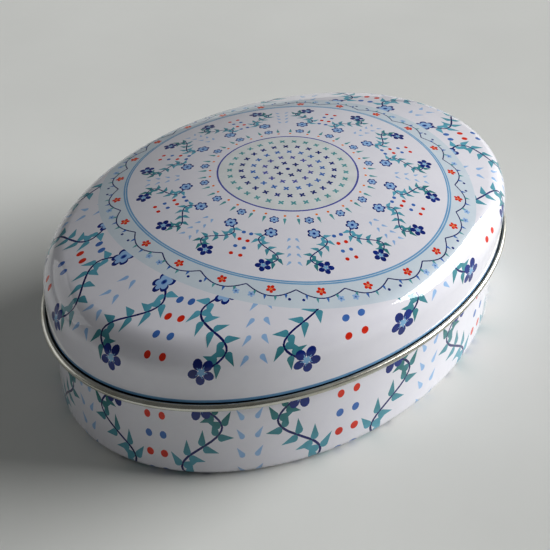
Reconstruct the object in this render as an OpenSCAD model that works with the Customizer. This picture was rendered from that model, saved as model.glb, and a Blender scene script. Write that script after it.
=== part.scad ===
// Oval powder tin: a drawn base, a domed lift-off lid with a rolled edge, a perforated sifter tray
// over the powder, and a round puff with a ribbon loop. Long axis along X, +Z up, in millimetres.
// The origin is the middle of the face that the tin stands on.
// Every oval piece is turned from a half section and then drawn out into the oval, all by the same
// stretch. Radii below are those of the half sections: the ends of the oval lie 1.18 times as far out
// and its sides 0.85 times.

/* [Tin] */
// Length over the lid's rolled edge
length = 126; // [110:1:150]
// Width over the lid's rolled edge
width = 90; // [84:1:110]
// Height with the lid on
height = 42; // [41:0.5:52]
// Thickness of the tinplate
sheet = 0.3; // [0.25:0.05:0.4]

/* [Lid] */
// Diameter of the rolled edge
roll_d = 1.6; // [1.4:0.1:2]
// Height of the underside of the rolled edge
skirt_z = 20.4; // [18:0.1:21]
// Radius of the dome
dome_r = 165; // [140:5:200]
// Radius of the shoulder between the dome and the wall
shoulder_r = 7; // [6:0.5:9]

/* [Base] */
// Gap between the base and the lid
lid_gap = 0.4; // [0.2:0.05:0.5]
// Height of the base's rim
base_h = 28.4; // [26:0.2:28.6]
// Diameter of the rim's inward roll
rim_d = 1.2; // [1:0.1:1.5]
// Outer radius of the bottom corner
corner_r = 2.5; // [1.5:0.5:3]
// Depth of the panel pressed up into the bottom
panel_depth = 0.7; // [0.4:0.1:1]
// Distance of that panel from the base's wall
panel_inset = 7; // [5:0.5:10]

/* [Sifter tray] */
// Height of the top of the tray
tray_z = 14; // [12:0.5:15]
// Gap between the tray's flange and the base's wall
tray_gap = 0.1; // [0.05:0.05:0.2]
// Radius between the tray's top and its flange
tray_r = 1.5; // [1:0.25:2]
// Diameter of a sifter hole
hole_d = 2.4; // [1.5:0.1:3]
// Number of rings of holes around the middle one
hole_rings = 3; // [1:1:3]
// Distance between the rings
hole_pitch = 7.5; // [6:0.5:9]

/* [Powder] */
// Room left between the powder and the tray
powder_room = 1.5; // [0.5:0.5:4]

/* [Puff] */
// Diameter of the puff
puff_d = 76; // [66:1:78]
// Thickness of the pile
pile_t = 8.5; // [6:0.5:9]
// Thickness of the satin cover
cover_t = 3; // [2:0.5:3.5]
// Gap between the puff and the tray
puff_gap = 0.4; // [0.3:0.1:1]
// Width of the ribbon
ribbon_w = 11; // [8:1:14]
// Thickness of the ribbon
ribbon_t = 0.8; // [0.6:0.1:1]
// Distance between the ribbon's sewn ends
ribbon_span = 46; // [36:1:52]
// Height of the ribbon's loop above the cover
ribbon_rise = 6.5; // [4:0.5:7.5]

/* [Hidden] */
$fn = 96;

// A rolled edge stands this far proud of the sheet's own face
roll_proud = 0.05;

// Radii of the half sections, from the lid's rolled edge inwards
edge_r = sqrt(length * width) / 2;
lid_r = edge_r - roll_d + roll_proud + sheet;
rim_r = edge_r - roll_d - lid_gap;
base_r = rim_r - roll_proud;
tray_flange_r = base_r - sheet - tray_gap;
powder_r = tray_flange_r - sheet - tray_gap;

// Heights
floor_z = sheet + panel_depth;
puff_z = tray_z + puff_gap;
cover_z = puff_z + pile_t;
ribbon_z = cover_z + cover_t;

// Turns a half section and draws the result out into the oval, a quarter at a time
module drawn_oval() {
    for (x = [0, 1], y = [0, 1]) mirror([x, 0, 0]) mirror([0, y, 0])
        scale([length / 2 / edge_r, width / 2 / edge_r, 1]) rotate_extrude(angle = 90, $fn = 180) children();
}

function heading(angle) = [cos(angle), sin(angle)];

// Section of a rolled edge of outer diameter d, open over 60 degrees on the side that faces mouth
module roll_section(d, mouth) {
    turns = [30 : 20 : 330];
    polygon([
        for (turn = turns) heading(mouth + turn) * d / 2,
        for (turn = turns) heading(mouth - turn) * (d / 2 - sheet)
    ]);
}

// Half section of a domed block: dome, shoulder and wall, tangent to each other, down to foot
module dome_section(wall_r, dome_r, shoulder_r, top, foot) {
    dome_c = [0, top - dome_r];
    shoulder_rise = sqrt(pow(dome_r - shoulder_r, 2) - pow(wall_r - shoulder_r, 2));
    shoulder_c = dome_c + [wall_r - shoulder_r, shoulder_rise];
    past_dome = dome_c + (shoulder_c - dome_c) * dome_r / (dome_r - 2 * shoulder_r);
    intersection() {
        translate(dome_c) circle(dome_r, $fn = 1440);
        polygon([[0, foot], [shoulder_c.x, foot], shoulder_c, past_dome, [0, past_dome.y + dome_r]]);
    }
    intersection() {
        translate(shoulder_c) circle(shoulder_r);
        translate(shoulder_c) square(shoulder_r + 1);
    }
    translate([0, foot]) square([wall_r, shoulder_c.y - foot]);
}

// Half section of a block with a flat foot and a rounded corner there
module tub_section(wall_r, corner, foot, top) {
    translate([0, foot]) square([wall_r - corner, top - foot]);
    translate([0, foot + corner]) square([wall_r, top - foot - corner]);
    translate([wall_r - corner, foot + corner]) circle(corner);
}

// One drawn sheet: domed top, wide shoulder, wall and an edge rolled outwards
module lid() {
    roll_z = skirt_z + roll_d / 2;
    color("lavender") drawn_oval() {
        difference() {
            dome_section(lid_r, dome_r, shoulder_r, height, roll_z);
            dome_section(lid_r - sheet, dome_r - sheet, shoulder_r - sheet, height - sheet, roll_z - 1);
        }
        translate([edge_r - roll_d / 2, roll_z]) roll_section(roll_d, 120);
    }
}

// One drawn sheet: floor with a panel pressed up into it, tight corner, wall and a rim rolled inwards
module base() {
    rim_z = base_h - rim_d / 2;
    panel_r = base_r - panel_inset;
    color("lavender") drawn_oval() {
        difference() {
            tub_section(base_r, corner_r, 0, rim_z);
            difference() {
                tub_section(base_r - sheet, corner_r - sheet, sheet, rim_z + 1);
                square([panel_r + sheet, floor_z]);
            }
            translate([-1, -1]) square([panel_r + 1, panel_depth + 1]);
        }
        translate([rim_r - rim_d / 2, rim_z]) roll_section(rim_d, 240);
    }
}

// Inverted tray that stands on the base's corner and keeps the powder under it
module sifter() {
    color("gainsboro") difference() {
        drawn_oval() mirror([0, 1]) difference() {
            tub_section(tray_flange_r, tray_r, -tray_z, -corner_r);
            tub_section(tray_flange_r - sheet, tray_r - sheet, sheet - tray_z, 1 - corner_r);
        }
        for (ring = [0 : hole_rings], hole = [0 : max(0, 6 * ring - 1)])
            rotate(60 * hole / max(1, ring)) translate([ring * hole_pitch, 0, tray_z - sheet - 1])
                cylinder(d = hole_d, h = sheet + 2, $fn = 24);
    }
}

// The loose powder, levelled under the tray
module powder() {
    color("white") drawn_oval() translate([0, floor_z])
        square([powder_r - corner_r, tray_z - sheet - powder_room - floor_z]);
}

// Half section of a round pad with a fully rounded edge
module pad_section(r, z, t) {
    translate([0, z]) square([r - t / 2, t]);
    translate([r - t / 2, z + t / 2]) circle(t / 2);
}

// The pile that takes up the powder
module puff_pile() {
    color("ivory") rotate_extrude() pad_section(puff_d / 2, puff_z, pile_t);
}

// The satin cover on the pile's back
module puff_cover() {
    color("lightsteelblue") rotate_extrude() pad_section(puff_d / 2 - pile_t / 4, cover_z, cover_t);
}

// The loop that the fingers go through, sewn down at both ends
module puff_ribbon() {
    half = ribbon_span / 2;
    loop_r = (half * half + ribbon_rise * ribbon_rise) / (2 * ribbon_rise);
    color("steelblue") rotate([90, 0, 0]) linear_extrude(ribbon_w, center = true) intersection() {
        translate([0, ribbon_z + ribbon_rise - loop_r]) difference() {
            circle(loop_r, $fn = 240);
            circle(loop_r - ribbon_t, $fn = 240);
        }
        translate([-half, ribbon_z]) square([ribbon_span, ribbon_rise + 1]);
    }
}

base();
lid();
sifter();
powder();
puff_pile();
puff_cover();
puff_ribbon();
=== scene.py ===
import math
import random

import bpy
from mathutils import Matrix, Vector, noise
from mathutils.geometry import delaunay_2d_cdt


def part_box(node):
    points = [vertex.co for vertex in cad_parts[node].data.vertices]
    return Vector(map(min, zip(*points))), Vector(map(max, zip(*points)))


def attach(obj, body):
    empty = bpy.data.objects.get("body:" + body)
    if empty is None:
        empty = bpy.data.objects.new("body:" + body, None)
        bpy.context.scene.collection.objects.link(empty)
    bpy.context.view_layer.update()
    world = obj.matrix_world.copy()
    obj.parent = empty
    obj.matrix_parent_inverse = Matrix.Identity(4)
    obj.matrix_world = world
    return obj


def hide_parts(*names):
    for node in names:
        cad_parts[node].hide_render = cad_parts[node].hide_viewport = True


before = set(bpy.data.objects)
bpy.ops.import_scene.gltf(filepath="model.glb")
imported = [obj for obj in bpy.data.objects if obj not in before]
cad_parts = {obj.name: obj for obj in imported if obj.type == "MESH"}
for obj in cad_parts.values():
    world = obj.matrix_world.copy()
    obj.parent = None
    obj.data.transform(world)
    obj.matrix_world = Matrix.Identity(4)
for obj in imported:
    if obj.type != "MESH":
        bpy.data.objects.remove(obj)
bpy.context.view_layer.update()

# ---------------------------------------------------------------- sizes, in millimetres
MM = 0.001
SHEET = 0.3
lid_low, lid_high = (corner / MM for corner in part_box("lid"))
base_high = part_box("base")[1] / MM
LENGTH, WIDTH = lid_high.x - lid_low.x, lid_high.y - lid_low.y
TOP = lid_high.z

# Every oval piece is a half section turned about Z and then drawn out into the oval
EDGE_R = math.sqrt(LENGTH * WIDTH) / 2
STRETCH_X, STRETCH_Y = LENGTH / 2 / EDGE_R, WIDTH / 2 / EDGE_R

# Lid
ROLL_D = 1.6
ROLL_PROUD = 0.05
ROLL_Z = lid_low.z + ROLL_D / 2
DOME_R = 165
SHOULDER_R = 7
LID_R = EDGE_R - ROLL_D + ROLL_PROUD + SHEET

# Base
RIM_D = 1.2
RIM_Z = base_high.z - RIM_D / 2
LID_GAP = 0.4
RIM_R = EDGE_R - ROLL_D - LID_GAP
BASE_R = RIM_R - ROLL_PROUD
CORNER_R = 2.5
PANEL_DEPTH = 0.7
PANEL_R = BASE_R - 7

# Print
MEDALLION_R = 36.25
BAND_R = 1.17 * MEDALLION_R
CENTRE_R = 0.433 * MEDALLION_R
UNITS = 8
BOUQUETS = 12
LID_TURN = math.radians(-1)
BASE_TURN = math.radians(-2)

# Facets around the oval and the spacing of the mesh's own points on the printed skins
AROUND = 288
GRID = 2.2


# ---------------------------------------------------------------- half sections
class Section:
    """A chain of lines and arcs in the (r, z) plane, followed by length. The face is on its left."""

    def __init__(self):
        self.parts = []
        self.length = 0

    def line(self, start, end):
        start, end = Vector(start), Vector(end)
        run = end - start
        normal = Vector((-run.y, run.x)).normalized()
        self.parts.append((self.length, run.length, 1, lambda t: (start + run * t, normal)))
        self.length += run.length
        return self

    def arc(self, centre, radius, start, end):
        """From the start angle to the end angle, in degrees. Clockwise turns its face outwards."""
        centre, start, sweep = Vector(centre), math.radians(start), math.radians(end - start)
        side = -math.copysign(1, sweep)

        def at(t):
            out = Vector((math.cos(start + sweep * t), math.sin(start + sweep * t)))
            return centre + out * radius, out * side

        length = abs(sweep) * radius
        self.parts.append((self.length, length, max(1, round(abs(sweep) / math.radians(7.5))), at))
        self.length += length
        return self

    def at(self, s):
        """The point and its normal at length s along the section."""
        for begin, length, _, place in reversed(self.parts):
            if s >= begin:
                return place(min(1, (s - begin) / length))
        return self.parts[0][3](0)

    def steps(self, longest=GRID):
        """Lengths at which the section is cut into facets, parts' ends included."""
        cuts = [0]
        for begin, length, least, _ in self.parts:
            count = max(least, math.ceil(length / longest))
            cuts += [begin + length * (i + 1) / count for i in range(count)]
        return cuts


def dome_section(top, wall_r, dome_r, shoulder_r, foot):
    """From the top's middle over the dome and the shoulder, down the wall to its foot."""
    centre = Vector((0, top - dome_r))
    across = wall_r - shoulder_r
    shoulder = centre + Vector((across, math.sqrt((dome_r - shoulder_r) ** 2 - across**2)))
    tangent = 90 - math.degrees(math.asin(across / (dome_r - shoulder_r)))
    section = Section().arc(centre, dome_r, 90, tangent).arc(shoulder, shoulder_r, tangent, 0)
    return section.line((wall_r, shoulder.y), (wall_r, foot))


def stretched(point, normal, angle):
    """A point of a half section and its normal, turned to an angle and drawn out into the oval."""
    c, s = math.cos(angle), math.sin(angle)
    place = Vector((STRETCH_X * point.x * c, STRETCH_Y * point.x * s, point.y))
    return place, Vector((normal.x * c / STRETCH_X, normal.x * s / STRETCH_Y, normal.y)).normalized()


# ---------------------------------------------------------------- meshes
class Shell:
    """Collects the points, normals and faces of one piece, in millimetres."""

    def __init__(self, materials):
        self.materials = materials
        self.points, self.normals, self.reach = [], [], []
        self.faces, self.slots = [], []

    def add(self, place, normal, reach=0.0):
        self.points.append(place * MM)
        self.normals.append(normal)
        self.reach.append(reach)
        return len(self.points) - 1

    def face(self, corners, material):
        self.faces.append(corners)
        self.slots.append(self.materials.index(material))

    def turn(self, section, material, inside=False):
        """The surface that a section leaves when it is turned and drawn out into the oval."""
        rings = []
        for s in section.steps():
            point, normal = section.at(s)
            normal = -normal if inside else normal
            angles = [0] if point.x < 1e-6 else [2 * math.pi * i / AROUND for i in range(AROUND)]
            ring_points = [self.add(*stretched(point, normal, angle)) for angle in angles]
            rings.append(ring_points * (AROUND // len(angles)))
        for first, second in zip(rings, rings[1:]):
            for i in range(AROUND):
                j = (i + 1) % AROUND
                corners = list(dict.fromkeys((first[i], second[i], second[j], first[j])))
                self.face(corners[::-1] if inside else corners, material)

    def build(self, name, body, *nodes, slot):
        mesh = bpy.data.meshes.new(name)
        mesh.from_pydata(self.points, [], self.faces)
        for material in self.materials:
            mesh.materials.append(material)
        mesh.polygons.foreach_set("material_index", self.slots)
        mesh.polygons.foreach_set("use_smooth", [True] * len(self.faces))
        mesh.attributes.new("reach", "FLOAT", "POINT").data.foreach_set("value", self.reach)
        mesh.normals_split_custom_set_from_vertices(self.normals)
        piece = bpy.data.objects.new(name, mesh)
        bpy.context.scene.collection.objects.link(piece)
        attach(piece, body)
        if nodes:
            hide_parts(*nodes)
        return piece


# ---------------------------------------------------------------- materials
def srgb(*levels):
    """A colour given as 0 to 255 levels on a screen."""
    return [((v / 255 + 0.055) / 1.055) ** 2.4 if v > 10 else v / 255 / 12.92 for v in levels] + [1]


class Nodes:
    """A material's node tree, written as short calls."""

    def __init__(self, name, **sockets):
        self.material = bpy.data.materials.new(name)
        self.material.use_nodes = True
        self.tree = self.material.node_tree
        self.shader = self.tree.nodes["Principled BSDF"]
        self.place = self.new("ShaderNodeTexCoord").outputs["Object"]
        for socket, value in sockets.items():
            self.shader.inputs[socket.replace("_", " ")].default_value = value

    def new(self, kind, **settings):
        node = self.tree.nodes.new(kind)
        for key, value in settings.items():
            setattr(node, key, value)
        return node

    def link(self, source, target):
        self.tree.links.new(source, target)
        return self

    def noise(self, scale, detail=3, stretch=(1, 1, 1)):
        """Noise with features 1/scale metres across."""
        mapping = self.new("ShaderNodeMapping")
        mapping.inputs["Scale"].default_value = stretch
        texture = self.new("ShaderNodeTexNoise")
        texture.inputs["Scale"].default_value = scale
        texture.inputs["Detail"].default_value = detail
        self.link(self.place, mapping.inputs["Vector"]).link(mapping.outputs[0], texture.inputs["Vector"])
        return texture.outputs["Fac"]

    def ramp(self, factor, *stops):
        """A colour ramp. Each stop is (position, colour)."""
        node = self.new("ShaderNodeValToRGB")
        elements = node.color_ramp.elements
        while len(elements) < len(stops):
            elements.new(0.5)
        for element, (position, colour) in zip(elements, stops):
            element.position, element.color = position, colour
        self.link(factor, node.inputs["Fac"])
        return node.outputs["Color"]

    def range(self, factor, low, high, start=0.3, end=0.7):
        """The factor's middle stretch spread over low to high."""
        node = self.new("ShaderNodeMapRange")
        for socket, value in zip(("From Min", "From Max", "To Min", "To Max"), (start, end, low, high)):
            node.inputs[socket].default_value = value
        self.link(factor, node.inputs["Value"])
        return node.outputs["Result"]

    def math(self, operation, a, b):
        node = self.new("ShaderNodeMath", operation=operation)
        for socket, value in zip(node.inputs, (a, b)):
            if isinstance(value, (int, float)):
                socket.default_value = value
            else:
                self.link(value, socket)
        return node.outputs[0]

    def bump(self, height, distance, strength=1.0):
        node = self.new("ShaderNodeBump")
        node.inputs["Distance"].default_value = distance
        node.inputs["Strength"].default_value = strength
        self.link(height, node.inputs["Height"]).link(node.outputs[0], self.shader.inputs["Normal"])
        return self

    def set(self, socket, source):
        self.link(source, self.shader.inputs[socket])
        return self


def ink(name, colour, shade, by_reach=False):
    """Printed enamel: a slightly uneven colour under a clear gloss with faint orange peel."""
    n = Nodes(name, Coat_Weight=1.0, Coat_Roughness=0.03, Specular_IOR_Level=0.12)
    if by_reach:
        reach = n.new("ShaderNodeAttribute", attribute_name="reach").outputs["Fac"]
        factor = n.math("ADD", reach, n.range(n.noise(400), -0.1, 0.1))
        n.set("Base Color", n.ramp(factor, (0.15, shade), (0.85, colour)))
    else:
        n.set("Base Color", n.ramp(n.noise(320, 5), (0.3, shade), (0.7, colour)))
    n.set("Roughness", n.range(n.noise(900), 0.34, 0.46))
    return n.bump(n.noise(420, 1), 0.000002).material


enamel = ink("white_enamel", srgb(226, 225, 232), srgb(223, 222, 230))
band_ground = ink("band_ground", srgb(208, 218, 226), srgb(202, 213, 223))
centre_ground = ink("centre_ground", srgb(222, 224, 226), srgb(210, 214, 214))
line_blue = ink("line_blue", srgb(124, 170, 206), srgb(108, 154, 196))
navy = ink("navy", srgb(4, 46, 136), srgb(2, 28, 104))
stem_dark = ink("stem_dark", srgb(16, 26, 112), srgb(8, 14, 80))
light_blue = ink("light_blue", srgb(158, 192, 228), srgb(144, 178, 220))
mid_blue = ink("mid_blue", srgb(76, 124, 190), srgb(58, 100, 172))
lilac = ink("lilac", srgb(98, 104, 176), srgb(74, 80, 154))
teal = ink("teal", srgb(98, 168, 190), srgb(30, 112, 112), by_reach=True)
trefoil_teal = ink("trefoil_teal", srgb(98, 166, 172), srgb(74, 144, 148))
eye_blue = ink("eye_blue", srgb(150, 192, 220), srgb(110, 158, 200))
red = ink("red", srgb(222, 52, 8), srgb(200, 34, 6))
orange = ink("orange", srgb(240, 134, 36), srgb(226, 104, 30))
# A near-black ink that paints the shade in the groove between the lid's wall and its roll.
crease = ink("crease", srgb(22, 24, 30), srgb(12, 12, 16))
INKS = [enamel, band_ground, centre_ground, line_blue, navy, stem_dark, light_blue, mid_blue, lilac, teal,
        trefoil_teal, eye_blue, red, orange, crease]


def bare_tin(name, colour, shade, along=(1, 1, 1)):
    """Bare tinplate, a little uneven in colour and gloss, with fine drawing lines."""
    n = Nodes(name, Metallic=1.0, Anisotropic=0.3)
    n.set("Base Color", n.ramp(n.noise(180, 6), (0.3, shade), (0.65, colour)))
    n.set("Roughness", n.range(n.noise(500, 4, along), 0.16, 0.38))
    return n.bump(n.noise(1600, 3, along), 0.00001).material


tinplate = bare_tin("tinplate", srgb(212, 211, 204), srgb(188, 185, 172), (0.1, 0.1, 3))
tin_inside = bare_tin("tin_inside", srgb(234, 232, 226), srgb(222, 219, 209), (0.2, 0.2, 3))
tin_brushed = bare_tin("tin_brushed", srgb(232, 232, 228), srgb(216, 216, 210), (1, 14, 1))


# ---------------------------------------------------------------- outlines of the print
def polar(degrees, radius):
    """A point at an angle from the +Y axis, clockwise."""
    a = math.radians(degrees)
    return Vector((radius * math.sin(a), radius * math.cos(a)))


def oval(centre, across, along=None, turn=0.0, points=14):
    along = along or across
    spin = Matrix.Rotation(turn, 2)
    rim = (2 * math.pi * i / points for i in range(points))
    return [Vector(centre) + spin @ Vector((across * math.cos(a), along * math.sin(a))) for a in rim]


def smooth(points, between=4):
    """A curve through the points, with steps between each two."""
    points = [Vector(p) for p in points]
    ends = [2 * points[0] - points[1]] + points + [2 * points[-1] - points[-2]]
    curve = []
    for a, b, c, d in zip(ends, ends[1:], ends[2:], ends[3:]):
        for i in range(between):
            t = i / between
            curve.append(b + (c - a) * (t / 2) + (2 * a - 5 * b + 4 * c - d) * (t * t / 2)
                         + (3 * b - a - 3 * c + d) * (t**3 / 2))
    return curve + [points[-1]]


def stroke(points, widths, between=4):
    """A brush stroke of changing half-width."""
    path = smooth([(*p, w) for p, w in zip(points, widths)], between)
    left, right = [], []
    for i, p in enumerate(path):
        run = (path[min(i + 1, len(path) - 1)].xy - path[max(i - 1, 0)].xy).normalized()
        side = Vector((-run.y, run.x)) * max(p.z, 0.02)
        left.append(p.xy + side)
        right.append(p.xy - side)
    return left + right[::-1]


def drop(tip, end, half_width, points=7):
    """A drop, pointed at its tip and round at its end."""
    tip, end = Vector(tip), Vector(end)
    run = (end - tip).normalized()
    centre, side = end - run * half_width, Vector((-run.y, run.x))
    rim = (math.pi * i / (points - 1) for i in range(points))
    return [tip] + [centre + (side * math.cos(a) + run * math.sin(a)) * half_width for a in rim][::-1]


def lobes(centre, count, distance, across, along, turn=0.0, points=12):
    """Petals round a centre."""
    for i in range(count):
        a = turn + 2 * math.pi * i / count
        out = Vector((math.cos(a), math.sin(a)))
        yield oval(Vector(centre) + out * distance, along, across, a, points)


def daisy(centre, radius, turn=math.pi / 2):
    """Light petals with dark tips, and a dark eye."""
    c = Vector(centre)
    for petal in lobes(c, 6, radius * 0.67, radius * 0.34, radius * 0.34, turn):
        yield navy, petal
    for petal in lobes(c, 6, radius * 0.44, radius * 0.27, radius * 0.31, turn):
        yield light_blue, petal
    yield light_blue, oval(c, radius * 0.4)
    yield mid_blue, oval(c, radius * 0.24)
    yield navy, oval(c, radius * 0.15, points=10)


def five_petals(centre, radius, petal_ink, eye_ink, turn=0.0):
    c = Vector(centre)
    for petal in lobes(c, 5, radius * 0.66, radius * 0.37, radius * 0.43, turn):
        yield petal_ink, petal
    for petal in lobes(c, 5, radius * 0.16, radius * 0.13, radius * 0.18, turn, 10):
        yield eye_ink, petal
    for petal in lobes(c, 5, radius * 0.38, radius * 0.035, radius * 0.16, turn + 0.3, 6):
        yield eye_ink, petal


def half_unit():
    """One half of the repeating unit: a swaying stem with paired leaves, a flower at each end and a row
    of berries. Y is the distance from the middle."""
    steps = 8

    def sway(t):
        return polar(11.25 + 5 * math.sin(2 * math.pi * t), 23 + 9.5 * t)

    yield stem_dark, stroke([sway(i / steps) for i in range(steps + 1)], [0.13] * (steps + 1), 3)
    for i in range(1, steps):
        here = sway(i / steps)
        run = (sway((i + 0.5) / steps) - here).normalized()
        for side in (-1, 1):
            lean = (run + Vector((-run.y, run.x)) * side * 1.3).normalized()
            yield teal, drop(here + lean * 2.1, here + lean * 0.2, 0.45)
    yield from daisy(sway(0), 1.5)
    yield from five_petals(sway(1), 1.6, navy, eye_blue)
    for row in range(4):
        yield (red if row % 2 else mid_blue), oval(polar(20.6, 24.5 + 2.2 * row), 0.45)
        yield light_blue, drop(polar(3, 25.4 + 2.2 * row), polar(1.4, 24.2 + 2.2 * row), 0.32)


def half_garland():
    """A ring of small flowers and leaves inside the medallion's units."""
    yield from daisy(polar(11.25, 18.9), 1.1)
    for degrees in (4.5, 18):
        yield trefoil_teal, drop(polar(degrees, 20.2), polar(degrees, 18.2), 0.35)
        yield orange, oval(polar(degrees, 17.4), 0.3, points=10)


def half_bouquet():
    """One half of a scallop in the band: a swag with leaves under one flower."""
    swag = [polar(d, 38 + 2 * math.sin(math.radians(12 * d))) for d in range(0, 16, 3)]
    yield stem_dark, stroke(swag, [0.13] * len(swag), 3)
    for i, place in enumerate(swag[1:-1]):
        yield (mid_blue if i % 2 else trefoil_teal), drop(place * 1.03, place, 0.28)
    yield from five_petals(polar(7.5, 38.3), 0.95, red, orange)
    yield from five_petals(polar(2.2, 40.3), 0.7, light_blue, mid_blue)
    yield navy, oval(polar(13, 40.4), 0.32, points=10)


def centre_lattice():
    """Rings of small four-petalled flowers in the middle."""
    for step, material in enumerate((navy, lilac, mid_blue, navy, trefoil_teal)):
        radius, count = 2.6 * (step + 1), 6 * (step + 1)
        for i in range(count):
            turn = 360 * i / count
            for petal in lobes(polar(turn, radius), 4, 0.4, 0.24, 0.38, math.radians(45 - turn), 8):
                yield material, petal
    yield navy, oval((0, 0), 0.5, points=12)


def both_halves(outlines):
    for material, outline in outlines:
        yield material, outline
        yield material, [Vector((-p.x, p.y)) for p in outline]


# ---------------------------------------------------------------- the print on the tin
lid_skin = dome_section(TOP, LID_R, DOME_R, SHOULDER_R, ROLL_Z + 0.35)
base_skin = (Section().line((BASE_R, RIM_Z), (BASE_R, CORNER_R))
             .arc((BASE_R - CORNER_R, CORNER_R), CORNER_R, 0, -90))
BASE_HUB = 45


def on_dome(place):
    """From true millimetres seen from above to the lid's flat sheet, which is measured along the lid."""
    flat = Vector((place.x / STRETCH_X, place.y / STRETCH_Y))
    across = LID_R - SHOULDER_R
    tangent = math.asin(across / (DOME_R - SHOULDER_R))
    if flat.length < DOME_R * math.sin(tangent):
        along = DOME_R * math.asin(flat.length / DOME_R)
    else:
        along = DOME_R * tangent + SHOULDER_R * (math.asin((flat.length - across) / SHOULDER_R) - tangent)
    return flat * (along / flat.length if flat.length else 1)


def ring(radius, points=AROUND):
    return oval((0, 0), radius, points=points)


def seen_from_above(outline, turn):
    """Turns an outline whose +Y axis points away from the middle to the angle turn from +X."""
    spin = Matrix.Rotation(turn - math.pi / 2, 2)
    return [spin @ Vector(p) for p in outline]


def along_wall(outline, turn, place_at):
    """Bends an outline round the oval: its angle is kept, and place_at gives the length for its radius."""
    bent = []
    for p in outline:
        angle = turn - math.atan2(p.x, p.y)
        s = place_at(p.length, angle)
        bent.append(Vector((s * math.cos(angle), s * math.sin(angle))))
    return bent


def lid_length(radius, angle):
    """Where a radius of the unit lies along the lid's section. The print is drawn out more at the ends."""
    above_edge = (7.3 + (32.8 - radius) * 1.7) * (1 + 0.08 * math.cos(angle) ** 2)
    return lid_skin.length - above_edge


def base_length(radius, angle):
    """The same on the base, where the units stand on their heads."""
    return BASE_HUB + 6.8 + (32.8 - radius) * 2.43


def lid_print():
    """The lid's print in painting order, on the flat sheet."""
    edge = lid_skin.length
    # The sheet's outer half millimetre is left to the ground: a near-black band at the wall's foot, painted
    # shade in the groove above the roll.
    yield line_blue, ring(edge - 0.5)
    yield enamel, ring(edge - 1.2)
    for unit in range(UNITS):
        turn = LID_TURN + 2 * math.pi * unit / UNITS
        for material, outline in both_halves(half_unit()):
            bent = along_wall(outline, turn, lid_length)
            if any(Vector((p.x * STRETCH_X, p.y * STRETCH_Y)).length > BAND_R for p in bent):
                yield material, bent
    flat = [(band_ground, oval((0, 0), BAND_R, points=AROUND))]
    for bouquet in range(BOUQUETS):
        turn = LID_TURN + 2 * math.pi * bouquet / BOUQUETS
        flat += [(m, seen_from_above(o, turn)) for m, o in both_halves(half_bouquet())]
    for material, radius in ((line_blue, 0.45), (band_ground, 0.1), (line_blue, -0.05), (enamel, -0.4)):
        flat.append((material, oval((0, 0), MEDALLION_R + radius, points=AROUND)))
    for unit in range(UNITS):
        turn = LID_TURN + 2 * math.pi * unit / UNITS
        flat += [(m, seen_from_above(o, turn)) for m, o in both_halves(half_unit())]
        flat += [(m, seen_from_above(o, turn)) for m, o in both_halves(half_garland())]
    flat += [(lilac, oval((0, 0), CENTRE_R + 0.2, points=144)),
             (centre_ground, oval((0, 0), CENTRE_R - 0.2, points=144))]
    flat += [(m, seen_from_above(o, LID_TURN)) for m, o in centre_lattice()]
    for material, outline in flat:
        yield material, [on_dome(p) for p in outline]


def base_print():
    """The base's print in painting order, on a flat ring whose inner edge is the rim."""
    for unit in range(UNITS):
        turn = BASE_TURN + 2 * math.pi * unit / UNITS
        for material, outline in both_halves(half_unit()):
            bent = along_wall(outline, turn, base_length)
            if any(p.length < BASE_HUB + base_skin.length for p in bent):
                yield material, bent


def counterclockwise(outline):
    area = sum(a.cross(b) for a, b in zip(outline, outline[1:] + outline[:1]))
    return outline if area > 0 else outline[::-1]


def printed(shell, section, hub, prints, ground, reach):
    """Cuts the flat sheet along every outline, colours it and lays it over the section."""
    edge = hub + section.length
    faces_in = [ring(edge)] + ([ring(hub)] if hub else [])
    inks = [ground] * len(faces_in)
    for material, outline in prints:
        inks.append(material)
        faces_in.append(counterclockwise(outline))
    points, faces = [], []
    for outline in faces_in:
        faces.append(list(range(len(points), len(points) + len(outline))))
        points += outline
    for s in section.steps()[1:-1]:
        points += ring(hub + s, max(6, round(2 * math.pi * (hub + s) / GRID)))
    if not hub:
        points.append(Vector((0, 0)))
    flat, _, triangles, _, _, origins = delaunay_2d_cdt(points, [], faces, 0, 1e-5)
    index = []
    for p in flat:
        place, normal = section.at(min(max(p.length - hub, 0), section.length))
        index.append(shell.add(*stretched(place, normal, math.atan2(p.y, p.x)), reach(p)))
    for triangle, origin in zip(triangles, origins):
        if 0 in origin and not (hub and 1 in origin):
            shell.face([index[i] for i in triangle], inks[max(origin)])


def rolled(shell, centre, diameter, mouth, material):
    """A rolled edge: the sheet's outer face, its raw lip and its inner face, open over 60 degrees."""
    lip = mouth - 30
    out = Vector((math.cos(math.radians(lip)), math.sin(math.radians(lip))))
    shell.turn(Section().arc(centre, diameter / 2, lip + 360, lip + 60), material)
    shell.turn(Section().arc(centre, diameter / 2 - SHEET, lip + 60, lip + 360), material)
    lip_centre = Vector(centre) + out * (diameter - SHEET) / 2
    shell.turn(Section().arc(lip_centre, SHEET / 2, lip + 180, lip), material)


def lid_reach(p):
    """0 at the wall's foot and 1 where the print's units start, on the wall and in the medallion alike."""
    true_radius = Vector((p.x * STRETCH_X, p.y * STRETCH_Y)).length
    if true_radius < MEDALLION_R:
        return (MEDALLION_R - true_radius) / 13
    return (lid_skin.length - p.length) / 26


def make_lid():
    shell = Shell(INKS + [tinplate, tin_inside])
    # The lid's ground is the near-black painted groove shade. It shows only in the band at the wall's foot.
    printed(shell, lid_skin, 0, lid_print(), crease, lid_reach)
    rolled(shell, (EDGE_R - ROLL_D / 2, ROLL_Z), ROLL_D, 120, tinplate)
    inner = dome_section(TOP - SHEET, LID_R - SHEET, DOME_R - SHEET, SHOULDER_R - SHEET, ROLL_Z)
    shell.turn(inner, tin_inside, inside=True)
    return shell.build("tin_lid_skin", "tin_lid", "lid", slot="printed_tinplate")


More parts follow.
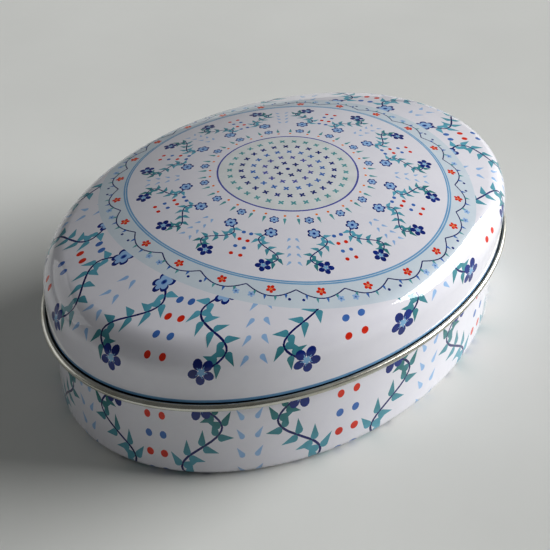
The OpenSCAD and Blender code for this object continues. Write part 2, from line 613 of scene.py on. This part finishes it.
def make_base():
    shell = Shell(INKS + [tinplate, tin_inside])
    printed(shell, base_skin, BASE_HUB, base_print(), enamel, lambda p: (p.length - BASE_HUB - 6) / 26)
    rolled(shell, (RIM_R - RIM_D / 2, RIM_Z), RIM_D, 240, tinplate)
    step = PANEL_DEPTH / 2
    underside = (Section().line((BASE_R - CORNER_R, 0), (PANEL_R + step, 0))
                 .arc((PANEL_R + step, step), step, -90, -180).arc((PANEL_R - step, step), step, 0, 90)
                 .line((PANEL_R - step, PANEL_DEPTH), (0, PANEL_DEPTH)))
    shell.turn(underside, tinplate)
    wall_r, corner = BASE_R - SHEET, CORNER_R - SHEET
    inside = (Section().line((0, PANEL_DEPTH + SHEET), (PANEL_R, PANEL_DEPTH + SHEET))
              .line((PANEL_R, PANEL_DEPTH + SHEET), (PANEL_R + SHEET, SHEET))
              .line((PANEL_R + SHEET, SHEET), (wall_r - corner, SHEET))
              .arc((wall_r - corner, CORNER_R), corner, -90, 0)
              .line((wall_r, CORNER_R), (wall_r, RIM_Z)))
    shell.turn(inside, tin_inside)
    return shell.build("tin_base_skin", "tin_base", "base", slot="printed_tinplate")


make_lid()
make_base()
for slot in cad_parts["sifter"].material_slots:
    slot.material = tin_brushed


# ---------------------------------------------------------------- powder and puff
puff_low, puff_high = (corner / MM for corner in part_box("puff_pile"))
cover_low, cover_high = (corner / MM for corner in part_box("puff_cover"))
ribbon_low, ribbon_high = (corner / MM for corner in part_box("puff_ribbon"))
powder_low, powder_high = (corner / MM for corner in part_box("powder"))
TUFTS, TUFT_HALF_WIDTH = 11500, 0.27
RIBBON_T = 0.8
RIBBON_SEAM = 2.2


def cloth(name, colour, shade, weave, roughness, depth, sheen=0.4):
    """Woven or piled fabric. Weave is how the threads are stretched along X and Y."""
    n = Nodes(name, Sheen_Weight=sheen, Sheen_Roughness=0.4, Specular_IOR_Level=0.45)
    threads = n.math("ADD", n.noise(1400, 1, weave), n.noise(1400, 1, (weave[1], weave[0], weave[2])))
    n.set("Base Color", n.ramp(n.math("MULTIPLY", n.math("ADD", threads, n.noise(90, 5)), 0.3333),
                               (0.38, shade), (0.6, colour)))
    n.set("Roughness", n.range(n.noise(300, 4), roughness - 0.06, roughness + 0.06))
    return n.bump(threads, depth).material


satin = cloth("satin", srgb(190, 208, 230), srgb(166, 188, 216), (3, 0.3, 1), 0.3, 0.00003)
ribbed = cloth("grosgrain", srgb(84, 126, 176), srgb(64, 104, 156), (0.4, 3, 1), 0.45, 0.00002)
thread = cloth("thread", srgb(232, 236, 242), srgb(206, 212, 224), (4, 4, 0.5), 0.5, 0.00001)
fluff = cloth("fluff", srgb(250, 248, 240), srgb(236, 230, 216), (2, 2, 0.4), 0.85, 0.00003, 0.8)
talc = cloth("talc", srgb(247, 246, 242), srgb(236, 234, 228), (1, 1, 1), 0.95, 0.00006, 0)


def finished(name, points, faces, material, body, *nodes, slot, subdivide=0):
    mesh = bpy.data.meshes.new(name)
    mesh.from_pydata([Vector(p) * MM for p in points], [], faces)
    mesh.polygons.foreach_set("use_smooth", [True] * len(faces))
    mesh.materials.append(material)
    piece = bpy.data.objects.new(name, mesh)
    bpy.context.scene.collection.objects.link(piece)
    if subdivide:
        piece.modifiers.new("finer", "SUBSURF").levels = subdivide
        piece.modifiers["finer"].render_levels = subdivide
    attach(piece, body)
    if nodes:
        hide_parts(*nodes)
    return piece


def turned(profile, around, shape):
    """A closed form from a profile that starts and ends on the axis. Shape moves each (r, z, angle)."""
    points = [shape(*profile[0], 0)]
    for r, z in profile[1:-1]:
        points += [shape(r, z, 2 * math.pi * i / around) for i in range(around)]
    points.append(shape(*profile[-1], 0))
    faces, last = [], len(points) - 1
    for i in range(around):
        j = (i + 1) % around
        faces.append((0, 1 + j, 1 + i))
        for k in range(1, last - around, around):
            faces.append((k + i, k + j, k + around + j, k + around + i))
        faces.append((last, last - around + i, last - around + j))
    return points, faces


def wavy(x, y, z, size):
    """Smooth noise from about -1 to 1, with features of that size in millimetres."""
    return noise.noise(Vector((x, y, z)) / size)


def make_powder():
    """Loose powder with an uneven, slightly heaped top that meets the wall."""
    reach_r = powder_high.x / STRETCH_X
    rings, top = 34, powder_high.z - 1

    def shape(r, z, angle):
        x, y = r * STRETCH_X * math.cos(angle), r * STRETCH_Y * math.sin(angle)
        if z > powder_low.z + 2:
            fade = 1 - (r / reach_r) ** 8
            z += fade * (0.6 * wavy(x, y, 1, 14) + 0.25 * wavy(x, y, 5, 4) + 0.12 * wavy(x, y, 9, 1.3))
        return Vector((x, y, z))

    corner = 1.2
    profile = [(0, powder_low.z), (reach_r * 0.5, powder_low.z), (reach_r - corner, powder_low.z),
               (reach_r - 0.35, powder_low.z + 0.4), (reach_r, powder_low.z + corner),
               (reach_r, top * 0.5), (reach_r, top - 0.4)]
    profile += [(reach_r * (1 - i / rings), top) for i in range(rings + 1)]
    points, faces = turned(profile, 160, shape)
    finished("talc_bed", points, faces, talc, "tin_base", "powder", slot="powder", subdivide=1)


def make_spill():
    """Small clumps of powder that worked up through the holes, on the tray beside the puff."""
    rng = random.Random(11)
    tray_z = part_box("sifter")[1].z / MM
    points, faces = [], []
    while len(points) < 7 * 260:
        x, y = rng.uniform(-52, 52), rng.uniform(-34, 34)
        if math.hypot(x, y) < puff_high.x + 1.5 or math.hypot(x / STRETCH_X, y / STRETCH_Y) > 46.5:
            continue
        size = 0.16 + 0.5 * rng.random() ** 3
        first = len(points)
        rim = [Vector((x, y, tray_z)) + Vector((math.cos(a), math.sin(a), 0)) * size * rng.uniform(0.7, 1.2)
               for a in (2 * math.pi * i / 6 for i in range(6))]
        points += rim + [Vector((x, y, tray_z + size * 0.7))]
        faces += [(first + i, first + (i + 1) % 6, first + 6) for i in range(6)]
        faces.append(tuple(range(first + 5, first - 1, -1)))
    finished("spilt_talc", points, faces, talc, "tin_base", slot="powder")


def tuft(points, faces, rng, root, lean, length, width):
    """One fibre bundle: a bent, three-sided spike with a closed foot."""
    across = lean.orthogonal().normalized()
    beside = lean.cross(across)
    bend = across * rng.uniform(-0.35, 0.35) + beside * rng.uniform(-0.35, 0.35)
    first = len(points)
    for reach, share in ((0, 1), (0.55, 0.75)):
        centre = root + lean * length * reach + bend * length * reach**2
        for i in range(3):
            a = 2 * math.pi * i / 3
            points.append(centre + (across * math.cos(a) + beside * math.sin(a)) * width * share)
    points.append(root + lean * length + bend * length)
    faces.append((first + 2, first + 1, first))
    for i in range(3):
        j = (i + 1) % 3
        faces.append((first + i, first + j, first + 3 + j, first + 3 + i))
        faces.append((first + 3 + i, first + 3 + j, first + 6))


def make_pile():
    """The puff's pile: a full round body under thousands of short soft tufts."""
    low, high, edge = puff_low.z + 0.9, puff_high.z, puff_high.x - 2.2
    middle, half = (low + high) / 2, (high - low) / 2
    corner = [(edge - half + half * math.cos(a), middle + half * math.sin(a))
              for a in (math.radians(-90 + 180 * i / 12) for i in range(13))]
    inner = edge - half
    profile = ([(0, low)] + [(inner * i / 12, low) for i in range(1, 12)] + corner
               + [(inner * i / 6, high) for i in range(5, -1, -1)])

    def shape(r, z, angle):
        x, y = r * math.cos(angle), r * math.sin(angle)
        lump = wavy(x, y, z, 7) * 0.6 * min(r / edge, 1) if z < high - 0.5 else -0.1
        out = Vector((math.cos(angle), math.sin(angle), 0)) * lump
        return Vector((x, y, z)) + out

    points, faces = turned(profile, 120, shape)
    rng, floor = random.Random(5), puff_low.z - 0.15
    for i in range(TUFTS):
        angle = rng.uniform(0, 2 * math.pi)
        if i % 5 < 3:
            a = math.radians(rng.uniform(-90, 62))
            r, z = edge - half + half * math.cos(a), middle + half * math.sin(a)
            normal = Vector((math.cos(angle) * math.cos(a), math.sin(angle) * math.cos(a), math.sin(a)))
            length = 2.1 - 1.0 * max(0, -math.sin(a)) - 1.1 * max(0, math.sin(a))
        else:
            r, z, normal, length = inner * math.sqrt(rng.random()), low, Vector((0, 0, -1)), 0.95
        root = Vector((r * math.cos(angle), r * math.sin(angle), z)) - normal * 0.25
        stray = Vector([rng.uniform(-0.45, 0.45) for _ in range(3)])
        length *= rng.uniform(0.75, 1.15)
        tuft(points, faces, rng, root, (normal + stray).normalized(), length, TUFT_HALF_WIDTH)
    points = [Vector((p.x, p.y, max(p.z, floor))) for p in points]
    finished("puff_fluff", points, faces, fluff, "puff", "puff_pile", slot="pile")


def simulated(points, faces, held, growth, pressure, cap, frames=20):
    """Where cloth settles, worked ten times life size, where the solver is steady."""
    scene, scale = bpy.context.scene, MM * 10
    mesh = bpy.data.meshes.new("cloth_trial")
    mesh.from_pydata([p * scale for p in points], [], faces)
    trial = bpy.data.objects.new("cloth_trial", mesh)
    scene.collection.objects.link(trial)
    trial.vertex_groups.new(name="held").add(held, 1.0, "REPLACE")
    modifier = trial.modifiers.new("settle", "CLOTH")
    settings = modifier.settings
    settings.vertex_group_mass = "held"
    settings.effector_weights.gravity = 0
    settings.use_pressure = True
    settings.uniform_pressure_force = pressure
    settings.shrink_min = -growth
    settings.quality = 8
    settings.mass = 0.2
    settings.tension_stiffness = settings.compression_stiffness = 20
    settings.shear_stiffness = 8
    settings.bending_stiffness = 0.02
    modifier.point_cache.frame_end = frames
    for frame_number in range(1, frames + 1):
        scene.frame_set(frame_number)
    settled = trial.evaluated_get(bpy.context.evaluated_depsgraph_get()).to_mesh()
    moved = [v.co / scale for v in settled.vertices]
    bpy.data.objects.remove(trial)
    scene.frame_set(1)
    ends = []
    for p, q in zip(points, moved):
        step = q - p
        ends.append(p + step * min(1, cap / max(step.length, 1e-6)))
    return ends


def make_cover():
    """The satin top: a thin cushion held at its rim and where the ribbon is sewn, gathered and swollen."""
    low, high, edge = cover_low.z, cover_high.z - 0.15, cover_high.x - 0.55
    rings, around = 30, 180
    bottom = [(0, low), (edge * 0.33, low), (edge * 0.66, low), (edge * 0.95, low), (edge, low + 0.35)]
    top = [(edge * (1 - i / rings), high - (high - low - 0.7) * (1 - i / rings) ** 5)
           for i in range(1, rings + 1)]

    def shape(r, z, angle):
        near_edge = max(0, (r / edge - 0.55) / 0.45) if z > low + 0.4 else 0
        swing = 34 * angle + 2.5 * math.sin(3 * angle) + 1.5 * math.sin(7 * angle)
        z += 0.16 * near_edge * (1 - near_edge) * 4 * math.sin(swing)
        return Vector((r * math.cos(angle), r * math.sin(angle), z))

    points, faces = turned(bottom + top, around, shape)
    held = list(range(1 + around * (len(bottom) - 1)))
    for i, p in enumerate(points):
        sewn = abs(abs(p.x) - (ribbon_high.x - RIBBON_SEAM / 2)) < RIBBON_SEAM and abs(p.y) < 5.5
        if p.z > low + 1 and sewn:
            p.z = high
            held.append(i)
    points = simulated(points, faces, held, 0.07, 2.2, 1.6)
    cover = finished("puff_satin", points, faces, satin, "puff", "puff_cover", slot="satin", subdivide=1)
    return points


def tube(points, faces, path, radius, sides=6, closed=False, twist=0.0):
    """A tube along a path, with rounded ends unless it is closed. Twist makes it a two-ply cord."""
    first, count = len(points), len(path)
    for i, p in enumerate(path):
        ahead = path[(i + 1) % count] if closed else path[min(i + 1, count - 1)]
        run = (ahead - path[i - 1 if closed else max(i - 1, 0)]).normalized()
        across = run.cross(Vector((0, 0, 1))).normalized()
        up = across.cross(run)
        share = 1 if closed or 0 < i < count - 1 else 0.5
        for k in range(sides):
            a = 2 * math.pi * k / sides
            r = radius * share * (1 + 0.14 * math.cos(2 * a + twist * i))
            points.append(p + (across * math.cos(a) + up * math.sin(a)) * r)
    for i in range(count if closed else count - 1):
        for k in range(sides):
            a, b = i * sides, (i + 1) % count * sides
            j = (k + 1) % sides
            faces.append((first + a + k, first + a + j, first + b + j, first + b + k))
    if not closed:
        faces.append(tuple(first + k for k in range(sides))[::-1])
        faces.append(tuple(first + (count - 1) * sides + k for k in range(sides)))


def make_piping():
    """The corded seam round the cover's rim."""
    edge, turns = cover_high.x - 0.62, 540
    points, faces = [], []
    path = [Vector((edge * math.cos(a), edge * math.sin(a), cover_low.z + 0.72 + 0.08 * math.sin(9 * a)))
            for a in (2 * math.pi * i / turns for i in range(turns))]
    tube(points, faces, path, 0.55, 12, True, math.pi / 4.5)
    finished("puff_piping", points, faces, satin, "puff", slot="satin")


def ribbon_path(share):
    """The ribbon's middle line, from one sewn end at 0 to the other at 1, and its upward normal."""
    half, rise = ribbon_high.x, ribbon_high.z - ribbon_low.z
    loop_r = (half**2 + rise**2) / (2 * rise)
    a = math.asin(half / loop_r) * (2 * share - 1)
    normal = Vector((math.sin(a), 0, math.cos(a)))
    return Vector((0, 0, ribbon_high.z - loop_r)) + normal * (loop_r - RIBBON_T / 2), normal


def make_ribbon():
    """A ribbed ribbon, arched for the fingers, with corded edges and a soft sideways wave."""
    ribs, per_rib, across = 92, 4, 14
    half_width = ribbon_high.y
    steps = ribs * per_rib
    points, faces = [], []
    for face in (1, -1):
        for i in range(steps + 1):
            middle, normal = ribbon_path(i / steps)
            rib = 0.05 * math.cos(2 * math.pi * i / per_rib)
            free = math.sin(math.pi * i / steps)
            for k in range(across + 1):
                side = 2 * k / across - 1
                edge_cord = 0.12 if abs(side) > 0.9 else 0
                wave = 0.35 * free * wavy(middle.x, side * 5, 3, 9) - 0.5 * free * side**2
                thick = 0.16 + edge_cord + rib
                points.append(middle + Vector((0, side * half_width, 0)) + normal * (wave + face * thick))
    width, sheet = across + 1, (steps + 1) * (across + 1)
    for i in range(steps):
        for k in range(across):
            a, b = i * width + k, (i + 1) * width + k
            faces.append((a, b, b + 1, a + 1))
            faces.append((sheet + a, sheet + a + 1, sheet + b + 1, sheet + b))
        for k in (0, across):
            a, b = i * width + k, (i + 1) * width + k
            side = (a, sheet + a, sheet + b, b)
            faces.append(side if k == 0 else side[::-1])
    for i in (0, steps):
        for k in range(across):
            a = i * width + k
            end = (a, a + 1, sheet + a + 1, sheet + a)
            faces.append(end if i == 0 else end[::-1])
    ribbon = finished("puff_loop", points, faces, ribbed, "puff", "puff_ribbon", slot="ribbon")
    ends = [ribbon_path(i / 40)[0] for i in range(41)]
    length = sum((b - a).length for a, b in zip(ends, ends[1:]))


def make_stitching(cover_points):
    """Hand stitches over the ribbon's ends and along the cover's seam."""
    points, faces = [], []

    def stitch(a, b, rise, radius=0.13):
        run = b - a
        tube(points, faces, [a + run * t + Vector((0, 0, rise * math.sin(math.pi * t)))
                             for t in (0, 0.2, 0.4, 0.6, 0.8, 1)], radius)

    for end in (0, 1):
        for row in (0.022, 0.05):
            middle, normal = ribbon_path(abs(end - row))
            on_top = middle + normal * 0.26
            for k in range(8):
                y = (k - 3.5) * 1.25
                stitch(on_top + Vector((0, y - 0.38, 0)), on_top + Vector((0, y + 0.38, 0)), 0.14)
    outer = [p for p in cover_points if p.z > cover_low.z + 0.5]
    for i in range(88):
        a = 2 * math.pi * i / 88
        for_seam = [Vector(((cover_high.x - r) * math.cos(a + t), (cover_high.x - r) * math.sin(a + t), 0))
                    for r, t in ((1.15, -0.012), (1.9, 0.012))]
        for p in for_seam:
            near = min(outer, key=lambda q: (q.xy - p.xy).length_squared)
            p.z = near.z + 0.02
        stitch(*for_seam, 0.16)
    finished("puff_stitching", points, faces, thread, "puff", slot="satin")


make_powder()
make_spill()
make_pile()
cover_points = make_cover()
make_piping()
make_ribbon()
make_stitching(cover_points)


# ---------------------------------------------------------------- table, lights and camera
def table_material():
    n = Nodes("table_top", Specular_IOR_Level=0)
    n.set("Base Color", n.ramp(n.noise(14, 6), (0.3, srgb(220, 221, 218)), (0.7, srgb(226, 227, 224))))
    n.set("Roughness", n.range(n.noise(60, 5), 0.55, 0.62))
    return n.bump(n.noise(500, 3), 0.00001).material


def make_table():
    mesh = bpy.data.meshes.new("table")
    mesh.from_pydata([(*p, 0) for p in oval((0, 0), 1.8, points=120)], [], [tuple(range(120))])
    mesh.materials.append(table_material())
    table = bpy.data.objects.new("table", mesh)
    bpy.context.scene.collection.objects.link(table)


def softbox(name, azimuth, elevation, distance, width, height, power, colour=(1, 1, 1)):
    """A rectangular lamp that looks at the tin. Azimuth is counted from +X."""
    lamp = bpy.data.lights.new(name, "AREA")
    lamp.shape, lamp.size, lamp.size_y = "RECTANGLE", width, height
    lamp.energy, lamp.color = power, colour
    a, e = math.radians(azimuth), math.radians(elevation)
    towards = Vector((math.cos(a) * math.cos(e), math.sin(a) * math.cos(e), math.sin(e)))
    piece = bpy.data.objects.new(name, lamp)
    piece.location = towards * distance
    piece.rotation_euler = towards.to_track_quat("Z", "Y").to_euler()
    bpy.context.scene.collection.objects.link(piece)


def make_camera(lens, azimuth, elevation, roll, distance, aim):
    """Looks at the point aim from the azimuth 0 = along +Y, turned clockwise seen from above."""
    camera = bpy.data.objects.new("camera", bpy.data.cameras.new("camera"))
    camera.data.lens, camera.data.sensor_width = lens, 36
    camera.data.clip_start, camera.data.clip_end = 0.01, 20
    a, e = math.radians(azimuth), math.radians(elevation)
    back = Vector((-math.sin(a) * math.cos(e), -math.cos(a) * math.cos(e), math.sin(e)))
    camera.location = Vector(aim) * MM + back * distance * MM
    turn = (-back).to_track_quat("-Z", "Y").to_matrix() @ Matrix.Rotation(math.radians(roll), 3, "Z")
    camera.rotation_euler = turn.to_euler()
    bpy.context.scene.collection.objects.link(camera)
    bpy.context.scene.camera = camera


def make_world(colour, strength, shown):
    """The room's dim light, and how bright its walls look where they show behind the table."""
    world = bpy.data.worlds.new("room")
    world.use_nodes = True
    nodes, links = world.node_tree.nodes, world.node_tree.links
    background = nodes["Background"]
    background.inputs["Color"].default_value = colour
    level = nodes.new("ShaderNodeMapRange")
    level.inputs["To Min"].default_value, level.inputs["To Max"].default_value = strength, shown
    links.new(nodes.new("ShaderNodeLightPath").outputs["Is Camera Ray"], level.inputs["Value"])
    links.new(level.outputs["Result"], background.inputs["Strength"])
    bpy.context.scene.world = world


make_table()
make_world(srgb(214, 216, 214), 0.15, 0.7)
softbox("window", -33, 21, 6, 5, 3, 545)
softbox("room_fill", 110, 22, 3, 2.5, 1.5, 9)
make_camera(72.6, 48.43, 37.06, 0.6, 244.2, (-14.3, -9.2, 25))
bpy.context.scene.view_settings.view_transform = "Standard"
bpy.context.scene.view_settings.look = "Medium High Contrast"
